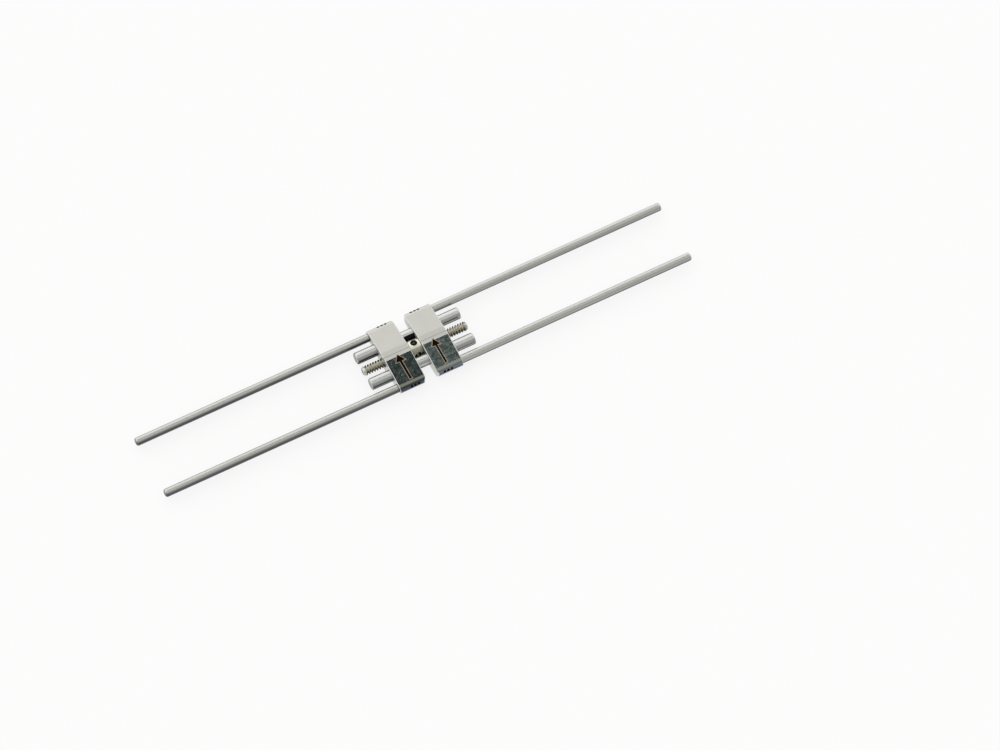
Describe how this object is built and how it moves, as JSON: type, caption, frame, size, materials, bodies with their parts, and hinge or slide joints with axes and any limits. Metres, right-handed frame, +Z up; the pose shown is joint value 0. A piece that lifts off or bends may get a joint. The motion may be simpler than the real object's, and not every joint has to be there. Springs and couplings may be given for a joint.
{
  "type": "palatal expansion screw",
  "caption": "Orthodontic palatal expansion screw: turning the drilled hub of a double-threaded spindle drives blocks with straight wire arms apart along guide pins.",
  "frame": {"origin": "under the middle of the closed body, on the plane of the blocks' lower lands", "axes": "+X along the spindle, pins and arms to the right, +Y along the blocks to the back, +Z up"},
  "size_m": [0.1018, 0.0134, 0.0035],
  "materials": {
    "block_steel": "satin stainless steel, ground facets",
    "wire_steel": "drawn stainless steel wire",
    "pin_steel": "centreless-ground stainless steel",
    "spindle_steel": "turned stainless steel"
  },
  "bodies": {
    "guide_pins": {"guide_pin_front": "pin_steel", "guide_pin_back": "pin_steel"},
    "spindle": {"spindle": "spindle_steel"},
    "left_half": {"block_left": "block_steel", "arm_left_front": "wire_steel", "arm_left_back": "wire_steel"},
    "right_half": {"block_right": "block_steel", "arm_right_front": "wire_steel", "arm_right_back": "wire_steel"}
  },
  "joints": [
    {"name": "spindle_turn", "type": "hinge", "parent": "guide_pins", "child": "spindle", "pos_m": [0, 0, 0.00173], "axis": [1, 0, 0], "range_deg": [0, 3960]},
    {"name": "left_slide", "type": "slide", "parent": "guide_pins", "child": "left_half", "axis": [-1, 0, 0], "range_m": [0, 0.0055]},
    {"name": "right_slide", "type": "slide", "parent": "guide_pins", "child": "right_half", "axis": [1, 0, 0], "range_m": [0, 0.0055]}
  ],
  "couplings": [
    {"joint": "left_slide", "follows": "right_slide", "ratio": 1},
    {"joint": "spindle_turn", "follows": "right_slide", "rad_per_m": 12566}
  ]
}
